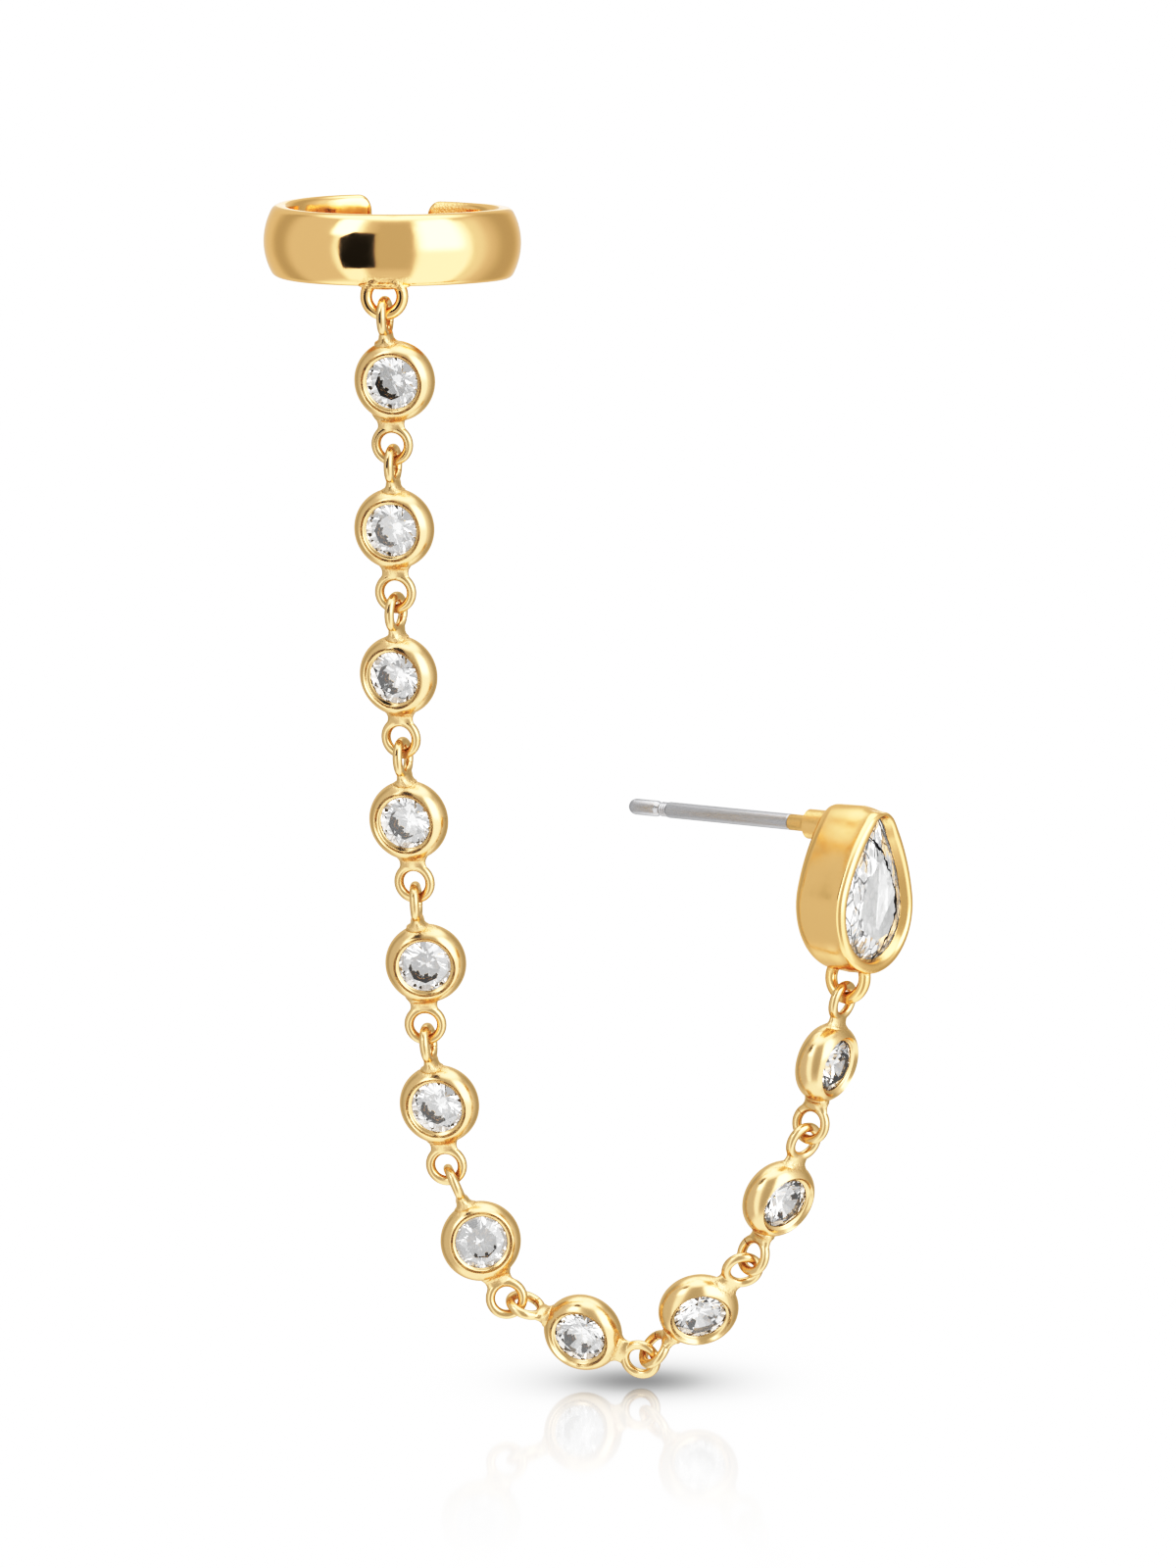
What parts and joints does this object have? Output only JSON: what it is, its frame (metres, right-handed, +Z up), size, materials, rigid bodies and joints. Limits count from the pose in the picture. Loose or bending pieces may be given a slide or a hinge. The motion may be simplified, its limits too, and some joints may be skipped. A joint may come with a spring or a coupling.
{
  "type": "ear chain earring",
  "caption": "Ear chain: an open cuff for the rim of the ear, a chain of bezel-set round stones, and a pear-shaped stud on a straight post.",
  "frame": {"origin": "middle of the ear cuff: on the band's upright axis, halfway up the band", "axes": "+Z up along the band's axis, with the chain hanging toward -Z; -Y the side that shows when worn; +X toward the stud"},
  "size_m": [0.0314, 0.0145, 0.0574],
  "materials": {
    "gold": "polished yellow gold plate, grainy where loops are soldered",
    "stone": "clear, cut and polished",
    "steel": "satin surgical steel"
  },
  "bodies": {
    "root": {"ear_cuff": "gold", "link_01": "gold", "link_02": "gold", "link_03": "gold", "link_04": "gold", "link_05": "gold", "link_06": "gold", "link_07": "gold", "link_08": "gold", "link_09": "gold", "link_10": "gold", "link_11": "gold", "stone_01": "stone", "stone_02": "stone", "stone_03": "stone", "stone_04": "stone", "stone_05": "stone", "stone_06": "stone", "stone_07": "stone", "stone_08": "stone", "stone_09": "stone", "stone_10": "stone", "stone_11": "stone", "stud_setting": "gold", "pear_stone": "stone", "ear_post": "steel"}
  },
  "joints": []
}
